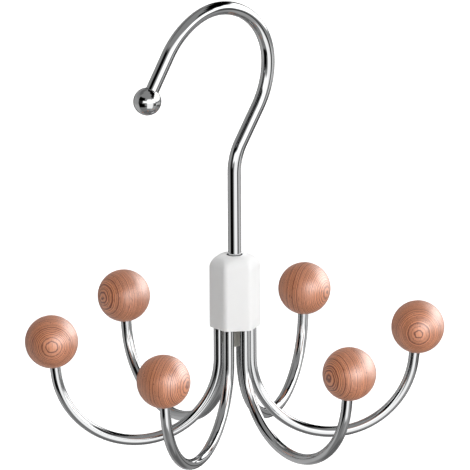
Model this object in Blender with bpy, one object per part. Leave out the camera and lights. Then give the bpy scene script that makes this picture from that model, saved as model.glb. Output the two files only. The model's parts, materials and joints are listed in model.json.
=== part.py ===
"""A rotating hanger for belts, ties and scarves.

A bent wire hook hangs on a wardrobe rail. Its straight shank turns freely in a white moulded
housing, which carries six bent wire arms, each with a wooden ball on its end.

Heights are measured from the housing's lower rim and along the swivel axis. At the end the
whole hanger is set so that the world's origin is the place under the crown where a rail bears.
The hook lies in the XZ plane. All sizes are in metres and degrees.
"""

import math

import bmesh
import bpy
from mathutils import Matrix, Vector

# Wires
HOOK_WIRE = 0.0062
ARM_WIRE = 0.0050

# Hook, from the housing upwards
SHANK_LENGTH = 0.0394
NECK_RADIUS = 0.0260
NECK_ANGLE = 32.4
NECK_LENGTH = 0.0187
FLANK_RADIUS = 0.0390
FLANK_ANGLE = 33.3
CROWN_RADIUS = 0.0292
CROWN_ANGLE = 114.4
TIP_LENGTH = 0.0234
TIP_BALL = 0.0130
TIP_GRIP = 0.0010

# Hook below the housing
TAIL_LENGTH = 0.0102
TAIL_DOME = 0.0024

# Arms
ARM_COUNT = 6
FIRST_ARM = 30.0
LEG_LENGTH = 0.0151
BEND_RADIUS = 0.0385
BEND_ANGLE = 172.6
RISER_LENGTH = 0.0160
WOOD_BALL = 0.0250
WOOD_GRIP = 0.0020
END_CHAMFER = 0.0004

# Clearances
RUNNING_GAP = 0.0003
PRESS_GAP = 0.00025
MOUTH_GAP = 0.00055

# Bearing
BUSH_WALL = 0.0008
BUSH_LENGTH = 0.0070
FLANGE_THICKNESS = 0.0010
FLANGE_OVERHANG = 0.0005
WASHER_THICKNESS = 0.0008
CLIP_THICKNESS = 0.0008
CLIP_OPENING = 72.0
CLIP_LUG = 16.0
GROOVE_DEPTH = 0.0006

# Hub
INNER_WEB = 0.0004
OUTER_WEB = 0.00045
HUB_HEIGHT = 0.0250
HUB_ROOF = 0.0045

# Housing
WALL = 0.0009
CORNER_ROUND = 0.0030
RIM_ROUND = 0.0005
CLIP_RECESS = 0.0003
DOME_ROOM = 0.0014
MOUTH_LAND = 0.0009
MOUTH_CHAMFER = 0.00025
STOP_WIDTH = 0.0030
STOP_DEPTH = 0.0009
STOP_HEIGHT = 0.0009

# Fineness of the round shapes
WIRE_SIDES = 16
TURNED_SIDES = 24
CORNER_STEPS = 4
DEGREES_PER_STEP = 7.5
BALL_BANDS = 12
DOME_BANDS = 7
TAIL_BANDS = 4
CLIP_STEPS = 24
SMOOTH_BELOW = 40.0

# Worked out from the values above
HOOK_RADIUS = HOOK_WIRE / 2
ARM_RADIUS = ARM_WIRE / 2
BUSH_BORE = HOOK_RADIUS + RUNNING_GAP
BARREL_RADIUS = BUSH_BORE + BUSH_WALL
FLANGE_RADIUS = BARREL_RADIUS + FLANGE_OVERHANG
BUSH_SEAT = BARREL_RADIUS + PRESS_GAP
ARM_BORE = ARM_RADIUS + PRESS_GAP
LEG_CIRCLE = BUSH_SEAT + INNER_WEB + ARM_BORE
HUB_REACH = LEG_CIRCLE + ARM_BORE + OUTER_WEB
INNER_REACH = HUB_REACH + PRESS_GAP
OUTER_REACH = INNER_REACH + WALL
GROOVE_RADIUS = HOOK_RADIUS - GROOVE_DEPTH

CLIP_BASE = CLIP_RECESS
WASHER_BASE = CLIP_BASE + CLIP_THICKNESS + RUNNING_GAP
FLANGE_BASE = WASHER_BASE + WASHER_THICKNESS + RUNNING_GAP
HUB_BASE = FLANGE_BASE + FLANGE_THICKNESS + RUNNING_GAP
HUB_TOP = HUB_BASE + HUB_HEIGHT
BEARING_MIDDLE = (HUB_BASE + HUB_TOP) / 2
STACK_HEIGHT = HUB_BASE - CLIP_BASE
DOME_INSIDE = HUB_TOP + STACK_HEIGHT + DOME_ROOM
HOUSING_TOP = DOME_INSIDE + WALL
MOUTH_RADIUS = HOOK_RADIUS + MOUTH_GAP
DOME_RIM = MOUTH_RADIUS + MOUTH_LAND


class WirePath:
    """A flat wire centreline in the XZ plane, drawn from one end as straight runs and arcs.

    Each station is a cross-section: its x and z, the heading there and the wire's radius.
    """

    def __init__(self, x, z, heading, radius):
        self.place = Vector((x, 0.0, z))
        self.heading = math.radians(heading)
        self.radius = radius
        self.stations = []

    def along(self):
        return Vector((math.cos(self.heading), 0.0, math.sin(self.heading)))

    def left(self):
        return Vector((-math.sin(self.heading), 0.0, math.cos(self.heading)))

    def mark(self, radius=None):
        """Put a cross-section here, with a new radius where one is given."""
        if radius is not None:
            self.radius = radius
        self.stations.append((self.place.copy(), self.left(), self.radius))

    def straight(self, length, radius=None):
        self.place += self.along() * length
        self.mark(radius)

    def arc(self, bend_radius, angle):
        """Bend to the left by this many degrees, or right if negative. Returns the arc's centre."""
        side = math.copysign(1.0, angle)
        centre = self.place + self.left() * bend_radius * side
        steps = max(2, round(abs(angle) / DEGREES_PER_STEP))
        for _ in range(steps):
            self.heading += math.radians(angle) / steps
            self.place = centre - self.left() * bend_radius * side
            self.mark()
        return centre


def circle(radius, z, sides=TURNED_SIDES):
    turns = [2 * math.pi * step / sides for step in range(sides)]
    return [Vector((radius * math.cos(turn), radius * math.sin(turn), z)) for turn in turns]


def rounded_polygon(reach, fillet, z):
    """A polygon with one rounded corner over each arm. Its corners reach this far from the axis."""
    points = []
    for corner in range(ARM_COUNT):
        middle = math.radians(FIRST_ARM) + 2 * math.pi * corner / ARM_COUNT
        centre = Vector((math.cos(middle), math.sin(middle), 0.0)) * (reach - fillet)
        for step in range(CORNER_STEPS + 1):
            turn = middle + (2 * step / CORNER_STEPS - 1) * math.pi / ARM_COUNT
            points.append(centre + Vector((fillet * math.cos(turn), fillet * math.sin(turn), z)))
    return points


def flat_distance(reach, fillet):
    """How far the flats of such a polygon lie from the axis."""
    half_corner = math.pi / ARM_COUNT
    return (reach - fillet) * math.cos(half_corner) + fillet


def finish_mesh(name, bm):
    """Close up, turn the faces outwards, and shade the round faces smooth."""
    bmesh.ops.remove_doubles(bm, verts=bm.verts, dist=1e-7)
    bmesh.ops.recalc_face_normals(bm, faces=bm.faces)
    mesh = bpy.data.meshes.new(name)
    bm.to_mesh(mesh)
    bm.free()
    mesh.shade_smooth()
    mesh.set_sharp_from_angle(angle=math.radians(SMOOTH_BELOW))
    return mesh


def loft(name, rings, ring_shaped=False):
    """Join rings of equal point count, one to the next. The ends are capped, or joined to each other."""
    bm = bmesh.new()
    loops = [[bm.verts.new(point) for point in ring] for ring in rings]
    pairs = list(zip(loops, loops[1:]))
    if ring_shaped:
        pairs.append((loops[-1], loops[0]))
    for lower, upper in pairs:
        for here in range(len(lower)):
            after = (here + 1) % len(lower)
            bm.faces.new((lower[here], lower[after], upper[after], upper[here]))
    if not ring_shaped:
        bm.faces.new(loops[0])
        bm.faces.new(loops[-1])
    return finish_mesh(name, bm)


def turned_ring(name, profile):
    """Turn a closed profile of (radius, height) points, clear of the axis, about Z."""
    return loft(name, [circle(radius, z) for radius, z in profile], ring_shaped=True)


def wire(name, path):
    """Carry a round section along a wire path."""
    rings = []
    for place, left, radius in path.stations:
        ring = []
        for step in range(WIRE_SIDES):
            turn = 2 * math.pi * step / WIRE_SIDES
            ring.append(place + left * radius * math.cos(turn) + Vector((0.0, radius * math.sin(turn), 0.0)))
        rings.append(ring)
    return loft(name, rings)


def bored_ball(name, diameter, bore_radius, bore_top):
    """A ball about its own centre with a blind bore from below, turned about Z as one profile."""
    radius = diameter / 2
    mouth = math.asin(bore_radius / radius)
    bm = bmesh.new()
    outline = [(0.0, bore_top), (bore_radius, bore_top)]
    for band in range(BALL_BANDS + 1):
        turn = mouth + (math.pi - mouth) * band / BALL_BANDS
        outline.append((radius * math.sin(turn), -radius * math.cos(turn)))
    verts = [bm.verts.new((x, 0.0, z)) for x, z in outline]
    edges = [bm.edges.new(pair) for pair in zip(verts, verts[1:])]
    bmesh.ops.spin(
        bm,
        geom=verts + edges,
        axis=(0, 0, 1),
        cent=(0, 0, 0),
        angle=2 * math.pi,
        steps=TURNED_SIDES,
        use_merge=True,
    )
    return finish_mesh(name, bm)


def plate(name, outline, thickness):
    """A flat outline in XY, extruded upwards."""
    bm = bmesh.new()
    face = bm.faces.new([bm.verts.new((x, y, 0.0)) for x, y in outline])
    raised = bmesh.ops.extrude_face_region(bm, geom=[face])["geom"]
    lifted = [item for item in raised if isinstance(item, bmesh.types.BMVert)]
    bmesh.ops.translate(bm, verts=lifted, vec=(0.0, 0.0, thickness))
    return finish_mesh(name, bm)


def hook_path():
    """The hook's centreline from its domed tail to the tip ball's centre, and the crown's centre."""
    path = WirePath(0.0, -TAIL_LENGTH, 90.0, HOOK_RADIUS)
    for band in range(1, TAIL_BANDS + 1):
        turn = math.pi / 2 * band / TAIL_BANDS
        path.place.z = -TAIL_LENGTH + TAIL_DOME * (1 - math.cos(turn))
        path.mark(HOOK_RADIUS * math.sin(turn))
    for groove in clip_heights():
        path.place.z = groove - RUNNING_GAP
        path.mark(HOOK_RADIUS)
        path.mark(GROOVE_RADIUS)
        path.straight(CLIP_THICKNESS + 2 * RUNNING_GAP)
        path.mark(HOOK_RADIUS)
    path.place.z = HOUSING_TOP + SHANK_LENGTH
    path.mark()
    path.arc(NECK_RADIUS, -NECK_ANGLE)
    path.straight(NECK_LENGTH)
    path.arc(FLANK_RADIUS, FLANK_ANGLE)
    crown = path.arc(CROWN_RADIUS, CROWN_ANGLE)
    path.arc(FLANK_RADIUS, FLANK_ANGLE)
    path.straight(TIP_LENGTH + TIP_GRIP - END_CHAMFER)
    path.straight(END_CHAMFER, HOOK_RADIUS - END_CHAMFER)
    return path, crown


def arm_path():
    """One arm's centreline, in the plane of the arm, from its end in the hub to its end in the ball."""
    insert_top = HUB_TOP - HUB_ROOF - PRESS_GAP
    path = WirePath(LEG_CIRCLE, insert_top, -90.0, ARM_RADIUS)
    path.mark(ARM_RADIUS - END_CHAMFER)
    path.straight(END_CHAMFER, ARM_RADIUS)
    path.place.z = -LEG_LENGTH
    path.mark()
    path.arc(BEND_RADIUS, BEND_ANGLE)
    ball = path.place + path.along() * RISER_LENGTH
    path.straight(RISER_LENGTH + WOOD_GRIP - END_CHAMFER)
    path.straight(END_CHAMFER, ARM_RADIUS - END_CHAMFER)
    return path, ball


def clip_heights():
    """The base heights of the lower and the upper clip."""
    return CLIP_BASE, mirrored(CLIP_BASE, CLIP_THICKNESS)


def mirrored(base, thickness):
    """The base height of a piece's twin at the other end of the hub."""
    return 2 * BEARING_MIDDLE - base - thickness


def dome_rings(reach, fillet, spring, top, steps):
    """Polygon rings that shrink to the round mouth on a quarter ellipse, rounder towards the top."""
    rings = []
    sharpness = fillet / reach
    for step in steps:
        turn = math.pi / 2 * step / DOME_BANDS
        width = DOME_RIM + (reach - DOME_RIM) * math.cos(turn)
        roundness = sharpness + (1 - sharpness) * math.sin(turn) ** 4
        rings.append(rounded_polygon(width, width * roundness, spring + (top - spring) * math.sin(turn)))
    return rings


def housing_mesh():
    """The moulded shell: a rounded six-sided skirt, open below, under a dome with a round mouth."""
    upward = range(DOME_BANDS + 1)
    inner_round = CORNER_ROUND - WALL
    rings = [
        rounded_polygon(OUTER_REACH - RIM_ROUND, CORNER_ROUND - RIM_ROUND, 0.0),
        rounded_polygon(OUTER_REACH, CORNER_ROUND, RIM_ROUND),
    ]
    rings += dome_rings(OUTER_REACH, CORNER_ROUND, HUB_TOP, HOUSING_TOP, upward)
    rings += [
        rounded_polygon(MOUTH_RADIUS + MOUTH_CHAMFER, MOUTH_RADIUS + MOUTH_CHAMFER, HOUSING_TOP),
        rounded_polygon(MOUTH_RADIUS, MOUTH_RADIUS, HOUSING_TOP - MOUTH_CHAMFER),
        rounded_polygon(MOUTH_RADIUS, MOUTH_RADIUS, DOME_INSIDE),
    ]
    rings += dome_rings(INNER_REACH, inner_round, HUB_TOP, DOME_INSIDE, reversed(upward))
    rings.append(rounded_polygon(INNER_REACH, inner_round, 0.0))
    return loft("housing", rings, ring_shaped=True)


def stop_mesh():
    """Small stops on the flats inside the housing: snap wedges under the hub and ledges over it."""
    wall_face = flat_distance(INNER_REACH, CORNER_ROUND - WALL)
    rooted = wall_face + WALL / 2
    tip = wall_face - STOP_DEPTH
    low, high = HUB_BASE - PRESS_GAP, HUB_TOP + PRESS_GAP
    wedge = [(rooted, low), (tip, low), (rooted, low - STOP_HEIGHT - WALL)]
    ledge = [(rooted, high), (rooted, high + STOP_HEIGHT), (tip, high + STOP_HEIGHT), (tip, high)]
    bm = bmesh.new()
    for flat in range(ARM_COUNT):
        turn = math.radians(FIRST_ARM) + math.pi * (2 * flat + 1) / ARM_COUNT
        for profile in (wedge, ledge):
            sides = []
            for y in (-STOP_WIDTH / 2, STOP_WIDTH / 2):
                side = [bm.verts.new((x, y, z)) for x, z in profile]
                bmesh.ops.rotate(bm, verts=side, cent=(0, 0, 0), matrix=Matrix.Rotation(turn, 3, "Z"))
                bm.faces.new(side)
                sides.append(side)
            for here in range(len(profile)):
                after = (here + 1) % len(profile)
                bm.faces.new((sides[0][here], sides[0][after], sides[1][after], sides[1][here]))
    return finish_mesh("housing_stops", bm)


def hub_mesh():
    """The hub's block before it is bored."""
    fillet = CORNER_ROUND - WALL - PRESS_GAP
    rings = [rounded_polygon(HUB_REACH, fillet, z) for z in (HUB_BASE, HUB_TOP)]
    return loft("hub", rings)


def shaft_cutter_mesh():
    """What the shank and the two bushes take out of the hub."""
    seat_depth = BUSH_LENGTH - FLANGE_THICKNESS + PRESS_GAP
    outside = WALL
    profile = [
        (BUSH_SEAT, HUB_BASE - outside),
        (BUSH_SEAT, HUB_BASE + seat_depth),
        (BUSH_BORE, HUB_BASE + seat_depth),
        (BUSH_BORE, HUB_TOP - seat_depth),
        (BUSH_SEAT, HUB_TOP - seat_depth),
        (BUSH_SEAT, HUB_TOP + outside),
    ]
    return loft("shaft_cutter", [circle(radius, z) for radius, z in profile])


def arm_cutter_mesh():
    """The blind bores for the arms, one straight cylinder each."""
    bm = bmesh.new()
    low, high = HUB_BASE - WALL, HUB_TOP - HUB_ROOF
    for arm in range(ARM_COUNT):
        turn = Matrix.Rotation(math.radians(FIRST_ARM) + 2 * math.pi * arm / ARM_COUNT, 4, "Z")
        bmesh.ops.create_cone(
            bm,
            cap_ends=True,
            segments=WIRE_SIDES,
            radius1=ARM_BORE,
            radius2=ARM_BORE,
            depth=high - low,
            matrix=turn @ Matrix.Translation((LEG_CIRCLE, 0.0, (low + high) / 2)),
        )
    return finish_mesh("arm_cutter", bm)


def bush_mesh():
    """A flanged bearing bush, flange down, with its flange's underside at height 0."""
    profile = [
        (BUSH_BORE, 0.0),
        (FLANGE_RADIUS, 0.0),
        (FLANGE_RADIUS, FLANGE_THICKNESS),
        (BARREL_RADIUS, FLANGE_THICKNESS),
        (BARREL_RADIUS, BUSH_LENGTH),
        (BUSH_BORE, BUSH_LENGTH),
    ]
    return turned_ring("bush", profile)


def washer_mesh():
    profile = [
        (BUSH_BORE, 0.0),
        (FLANGE_RADIUS, 0.0),
        (FLANGE_RADIUS, WASHER_THICKNESS),
        (BUSH_BORE, WASHER_THICKNESS),
    ]
    return turned_ring("thrust_washer", profile)


def arc_points(radius, start, end, steps):
    """Points on an arc about the axis, as (radius, angle in degrees)."""
    return [(radius, start + (end - start) * step / steps) for step in range(steps + 1)]


def clip_mesh():
    """A spring clip that opens to one side and grips the groove with three lugs."""
    grip = GROOVE_RADIUS + PRESS_GAP
    first, last = CLIP_OPENING / 2, 360.0 - CLIP_OPENING / 2
    left, right = 180.0 + CLIP_LUG / 2, 180.0 - CLIP_LUG / 2
    polar = arc_points(FLANGE_RADIUS, first, last, CLIP_STEPS)
    polar += arc_points(grip, last, last - CLIP_LUG, 1)
    polar += arc_points(BUSH_BORE, last - CLIP_LUG, left, CLIP_STEPS // 3)
    polar += arc_points(grip, left, right, 1)
    polar += arc_points(BUSH_BORE, right, first + CLIP_LUG, CLIP_STEPS // 3)
    polar += arc_points(grip, first + CLIP_LUG, first, 1)
    outline = [(r * math.cos(math.radians(a)), r * math.sin(math.radians(a))) for r, a in polar]
    return plate("clip", outline, CLIP_THICKNESS)


def make_material(name, colour, roughness, metallic=0.0):
    """A plain finish. The colour is linear red, green and blue."""
    material = bpy.data.materials.new(name)
    material.use_nodes = True
    shader = material.node_tree.nodes["Principled BSDF"]
    shader.inputs["Base Color"].default_value = (*colour, 1.0)
    shader.inputs["Roughness"].default_value = roughness
    shader.inputs["Metallic"].default_value = metallic
    material.diffuse_color = (*colour, 1.0)
    return material


def add_object(name, mesh, material, parent, matrix=None):
    obj = bpy.data.objects.new(name, mesh)
    bpy.context.scene.collection.objects.link(obj)
    if material is not None and not mesh.materials:
        mesh.materials.append(material)
    obj.parent = parent
    obj.matrix_local = matrix or Matrix.Identity(4)
    return obj


def add_frame(name, place):
    """An empty on the swivel axis that carries one body's pieces."""
    empty = bpy.data.objects.new(name, None)
    bpy.context.scene.collection.objects.link(empty)
    empty.location = place
    return empty


def shape_with(obj, mesh, operation, parent):
    """Cut or add a helper mesh by a Boolean, and leave the helper out of the render."""
    helper = add_object(mesh.name, mesh, None, parent)
    helper.hide_render = True
    helper.display_type = "WIRE"
    boolean = obj.modifiers.new(mesh.name, "BOOLEAN")
    boolean.operation = operation
    boolean.object = helper
    boolean.solver = "EXACT"


def at_height(z):
    return Matrix.Translation((0.0, 0.0, z))


def upside_down(z, height):
    """Place a piece made upwards from 0 so that it points down and its base ends on top."""
    return Matrix.Translation((0.0, 0.0, z + height)) @ Matrix.Rotation(math.pi, 4, "X")


def build_hook(chrome, steel, nylon, frame, path):
    add_object("hook_rod", wire("hook_rod", path), chrome, frame)
    bore = HOOK_RADIUS + PRESS_GAP
    ball = bored_ball("hook_tip_ball", TIP_BALL, bore, TIP_GRIP + PRESS_GAP)
    ball_centre = path.place - path.along() * TIP_GRIP
    tilt = Matrix.Rotation(math.pi / 2 - path.heading, 4, "Y")
    add_object("hook_tip_ball", ball, chrome, frame, Matrix.Translation(ball_centre) @ tilt)
    washer = washer_mesh()
    clip = clip_mesh()
    lower_clip, upper_clip = clip_heights()
    add_object("lower_clip", clip, steel, frame, at_height(lower_clip))
    add_object("upper_clip", clip, steel, frame, at_height(upper_clip))
    add_object("lower_thrust_washer", washer, nylon, frame, at_height(WASHER_BASE))
    upper_washer = mirrored(WASHER_BASE, WASHER_THICKNESS)
    add_object("upper_thrust_washer", washer, nylon, frame, at_height(upper_washer))


def build_bearing(white, nylon, frame):
    """The housing, the hub inside it and the two bushes in the hub."""
    housing = add_object("housing", housing_mesh(), white, frame)
    shape_with(housing, stop_mesh(), "UNION", frame)
    hub = add_object("hub", hub_mesh(), nylon, frame)
    shape_with(hub, shaft_cutter_mesh(), "DIFFERENCE", frame)
    shape_with(hub, arm_cutter_mesh(), "DIFFERENCE", frame)
    bush = bush_mesh()
    add_object("lower_bush", bush, nylon, frame, at_height(FLANGE_BASE))
    upper_bush = mirrored(FLANGE_BASE, BUSH_LENGTH)
    add_object("upper_bush", bush, nylon, frame, upside_down(upper_bush, BUSH_LENGTH))


def build_arms(chrome, wood, frame):
    path, ball_centre = arm_path()
    arm = wire("arm", path)
    ball = bored_ball("wood_ball", WOOD_BALL, ARM_BORE, WOOD_GRIP + PRESS_GAP)
    tilt = Matrix.Rotation(math.pi / 2 - path.heading, 4, "Y")
    for index in range(ARM_COUNT):
        turn = Matrix.Rotation(math.radians(FIRST_ARM) + 2 * math.pi * index / ARM_COUNT, 4, "Z")
        add_object(f"arm_{index + 1}", arm, chrome, frame, turn)
        placed = turn @ Matrix.Translation(ball_centre) @ tilt
        add_object(f"wood_ball_{index + 1}", ball, wood, frame, placed)


def main():
    for obj in list(bpy.data.objects):
        bpy.data.objects.remove(obj)

    chrome = make_material("chrome", (0.78, 0.79, 0.80), 0.06, 1.0)
    steel = make_material("spring_steel", (0.16, 0.16, 0.17), 0.35, 1.0)
    white = make_material("white_plastic", (0.88, 0.88, 0.87), 0.25)
    nylon = make_material("natural_nylon", (0.66, 0.65, 0.60), 0.45)
    wood = make_material("beech", (0.55, 0.27, 0.15), 0.40)

    path, crown = hook_path()
    seat_height = crown.z + CROWN_RADIUS - HOOK_RADIUS
    axis_foot = Vector((-crown.x, 0.0, -seat_height))
    hook_frame = add_frame("hook_frame", axis_foot)
    carousel_frame = add_frame("carousel_frame", axis_foot)

    build_hook(chrome, steel, nylon, hook_frame, path)
    build_bearing(white, nylon, carousel_frame)
    build_arms(chrome, wood, carousel_frame)


if __name__ == "__main__":
    main()
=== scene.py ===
import json
import math

import bpy
import numpy as np
from bpy.props import FloatProperty, FloatVectorProperty, PointerProperty
from bpy.types import Operator, Panel, PropertyGroup
from mathutils import Euler, Matrix, Vector


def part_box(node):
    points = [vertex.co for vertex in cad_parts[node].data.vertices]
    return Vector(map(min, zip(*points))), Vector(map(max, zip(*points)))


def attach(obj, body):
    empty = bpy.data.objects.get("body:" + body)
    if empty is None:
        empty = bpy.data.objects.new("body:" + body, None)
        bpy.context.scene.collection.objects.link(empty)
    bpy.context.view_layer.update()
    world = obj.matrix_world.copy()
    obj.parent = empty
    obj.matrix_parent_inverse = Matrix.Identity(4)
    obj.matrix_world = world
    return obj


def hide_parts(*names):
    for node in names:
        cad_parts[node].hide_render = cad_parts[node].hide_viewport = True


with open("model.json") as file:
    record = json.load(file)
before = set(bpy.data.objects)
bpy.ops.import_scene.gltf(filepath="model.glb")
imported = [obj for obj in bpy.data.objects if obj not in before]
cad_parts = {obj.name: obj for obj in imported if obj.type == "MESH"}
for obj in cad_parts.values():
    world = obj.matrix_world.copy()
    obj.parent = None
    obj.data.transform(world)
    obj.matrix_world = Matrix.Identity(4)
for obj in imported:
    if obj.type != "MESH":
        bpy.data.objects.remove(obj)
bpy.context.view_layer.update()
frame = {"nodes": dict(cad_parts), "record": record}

bl_info = {
    "name": "Rotating hanger dressing",
    "version": (1, 0, 0),
    "blender": (4, 5, 0),
    "location": "3D View > Sidebar > Hanger",
    "description": "Fine surfaces and finishes for a rotating hanger, with its studio",
    "category": "Add Mesh",
}

# The foot of the swivel axis lies in the plane of the housing's lower rim. Heights that a
# size below calls local are measured from there.
AXIS_FOOT = np.array(frame["record"]["behaviour"]["joints"][0]["pos_m"])
UP = np.array([0.0, 0.0, 1.0])
ARM_NODES = tuple(sorted(name for name in frame["nodes"] if name.startswith("arm_")))
ARM_COUNT = len(ARM_NODES)

# How finely the surfaces are divided, and the angle from which an edge is kept sharp.
WIRE_SIDES = 48
TURNED_SIDES = 96
BALL_BANDS = 72
DOME_BANDS = 28
CORNER_POINTS = 13
FLAT_POINTS = 5
EDGE_STEPS = 5
DEGREES_PER_ROW = 2.0
SHARP_ANGLE = math.radians(38.0)
# The cosine from which an axis counts as lying along Y.
NEARLY_ALONG = 0.9
# Eased edges, and how far a piece may leave the box of its CAD node, in metres.
MOUTH_EASE = 0.0003
EDGE_EASE = 0.00012
PLACE_TOLERANCE = 0.0004


def span(node, axis):
    """How far a CAD node reaches along one axis."""
    low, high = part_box(node)
    return high[axis] - low[axis]


def local_top(node):
    """The height of a CAD node's top above the housing's lower rim."""
    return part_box(node)[1][2] - AXIS_FOOT[2]


# Sizes and colours that a user may change.


def metres(name, description, default):
    """A length."""
    return FloatProperty(
        name=name, description=description, default=default, min=0.0, precision=5,
        subtype="DISTANCE", unit="LENGTH",
    )


def degrees(name, description, default):
    """An angle, with its default in degrees."""
    return FloatProperty(
        name=name, description=description, default=math.radians(default),
        subtype="ANGLE", unit="ROTATION",
    )


def tint(name, description, default):
    """A colour, as linear red, green and blue."""
    return FloatVectorProperty(
        name=name, description=description, default=default, size=3, min=0.0, max=1.0,
        subtype="COLOR",
    )


class HangerHookSizes(PropertyGroup):
    """Sizes of the hook's wire and of the ball on its tip."""

    wire: metres("Wire", "Thickness of the hook's wire", span("hook_rod", 1))
    tail: metres("Tail", "How far the shank stands out under the rim", 0.0102)
    tail_dome: metres("Tail dome", "Height of the shank's rounded end", 0.0024)
    groove_depth: metres("Groove depth", "Depth of the two clip grooves", 0.0006)
    groove_width: metres("Groove width", "Width of the two clip grooves", 0.0014)
    bare_end: metres("Bare end", "How far above its tail the wire is unplated", 0.0087)
    shank: metres("Shank", "Straight run above the housing", 0.0394)
    neck_radius: metres("Neck radius", "Radius of the bend above the shank", 0.0260)
    neck_angle: degrees("Neck angle", "Turn of the bend above the shank", 32.4)
    neck: metres("Neck", "Straight run above the neck's bend", 0.0187)
    flank_radius: metres("Flank radius", "Radius of the crown's two flanks", 0.0390)
    flank_angle: degrees("Flank angle", "Turn of each flank", 33.3)
    crown_radius: metres("Crown radius", "Radius of the crown", 0.0292)
    crown_angle: degrees("Crown angle", "Turn of the crown", 114.4)
    tip: metres("Tip", "Straight run from the last flank to the ball", 0.0234)
    ball: metres("Tip ball", "Diameter of the ball on the tip", span("hook_tip_ball", 1))
    ball_grip: metres("Grip", "How far the wire passes the ball's centre", 0.0010)
    ball_gap: metres("Tip ball gap", "Gap between the wire and the tip ball's bore", 0.00025)


class HangerArmSizes(PropertyGroup):
    """Sizes of the six arms and of their wooden balls."""

    wire: metres("Wire", "Thickness of an arm's wire", span("arm_2", 0))
    first: degrees("First arm", "Direction of the first arm about the axis", 30.0)
    leg_circle: metres("Leg circle", "Distance of an arm's leg from the axis", 0.0076)
    insert_top: metres("Insert top", "Local height of an arm's end in the hub", 0.02405)
    leg: metres("Leg", "Straight run below the rim", 0.0151)
    bend_radius: metres("Bend radius", "Radius of an arm's bend", 0.0385)
    bend_angle: degrees("Bend angle", "Turn of an arm's bend", 172.6)
    riser: metres("Riser", "Straight run from the bend to the ball's centre", 0.0160)
    ball: metres("Ball", "Diameter of a wooden ball", span("wood_ball_2", 0))
    grip: metres("Grip", "How far the wire passes the ball's centre", 0.0020)
    chamfer: metres("Chamfer", "Chamfer on the wire's ends", 0.0004)
    gap: metres("Gap", "Gap between a wire and its bore", 0.00025)


class HangerHousingSizes(PropertyGroup):
    """Sizes of the moulded housing and of the bearing in it."""

    reach: metres("Reach", "Distance of the corners from the axis", span("housing", 1) / 2)
    top: metres("Top", "Local height of the housing's top", local_top("housing"))
    spring: metres("Spring line", "Local height where the dome starts", local_top("hub"))
    wall: metres("Wall", "Thickness of the wall", 0.0009)
    corner: metres("Corner", "Radius of the upright corners", 0.0030)
    rim: metres("Rim round", "Radius of the lower rim's edge", 0.0005)
    mouth: metres("Mouth", "Radius of the mouth round the shank", 0.00365)
    mouth_land: metres("Mouth land", "Width of the flat land round the mouth", 0.0009)
    mouth_round: metres("Mouth round", "Radius of the mouth's edge", 0.00025)
    hub_base: metres("Hub base", "Local height of the hub's underside", 0.0038)
    hub_gap: metres("Hub gap", "Gap between the hub and the stops", 0.00025)
    stop_width: metres("Stop width", "Width of the stops that hold the hub", 0.0030)
    stop_depth: metres("Stop depth", "How far the stops stand out inside", 0.0009)
    stop_height: metres("Stop height", "Height of the stops", 0.0009)
    bore: metres("Bore", "Radius of the bushes' bore", 0.0034)
    barrel: metres("Barrel", "Radius of a bush's barrel", 0.0042)
    flange: metres("Flange", "Radius of a bush's flange", 0.0047)
    flange_thickness: metres("Flange thickness", "Thickness of a bush's flange", 0.0010)
    bush: metres("Bush", "Length of a bush", 0.0070)
    washer: metres("Washer", "Thickness of a thrust washer", 0.0008)


class HangerColours(PropertyGroup):
    """Colours of the finishes."""

    chrome: tint("Chrome", "Polished chrome plating", (0.56, 0.565, 0.57))
    plastic: tint("Plastic", "White moulded plastic", (0.89, 0.89, 0.885))
    nylon: tint("Nylon", "Natural nylon", (0.66, 0.65, 0.60))
    steel: tint("Spring steel", "Blued spring steel", (0.16, 0.16, 0.17))
    wood_pale: tint("Pale wood", "Early wood of the beech", (0.68, 0.262, 0.125))
    wood_dark: tint("Dark wood", "Late wood of the beech", (0.19, 0.048, 0.018))
    floor: tint("Floor", "Pale floor", (0.90, 0.90, 0.90))


# The surfaces: grids of points worked out as whole arrays, and the skins over them.


def round_corner(centre, radius, start, end):
    """A quarter round as rows (across, up): centre + radius * (cos turn, sin turn)."""
    turn = np.radians(np.linspace(start, end, EDGE_STEPS + 1))
    return np.array(centre) + radius * np.stack([np.cos(turn), np.sin(turn)], axis=1)


def walk(start, heading, runs):
    """A flat centreline of runs (length, turn), each straight where its turn is 0.

    On a straight run the place is its start + distance * direction. On a bend of radius
    length / turn, it is the start + radius * (sin swing) along and radius * (1 - cos swing)
    to the left of the direction at the start. Returns the places and the headings.
    """
    places, headings = [np.array([start])], [np.array([heading])]
    for length, turn in runs:
        rows = max(1, round(abs(math.degrees(turn)) / DEGREES_PER_ROW))
        share = np.arange(1, rows + 1) / rows
        if turn:
            radius = length / turn
            along, left = radius * np.sin(turn * share), radius * (1 - np.cos(turn * share))
        else:
            along, left = length * share, 0.0 * share
        cos, sin = math.cos(heading), math.sin(heading)
        step = np.stack([along * cos - left * sin, along * sin + left * cos], axis=1)
        places.append(places[-1][-1] + step)
        headings.append(heading + turn * share)
        heading += turn
    return np.concatenate(places), np.concatenate(headings)


def in_plane(places, azimuth):
    """Flat places (out, up) set in the upright plane through the axis at an azimuth."""
    outward = np.array([math.cos(azimuth), math.sin(azimuth), 0.0])
    return AXIS_FOOT + places[:, :1] * outward + places[:, 1:] * UP


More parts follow.
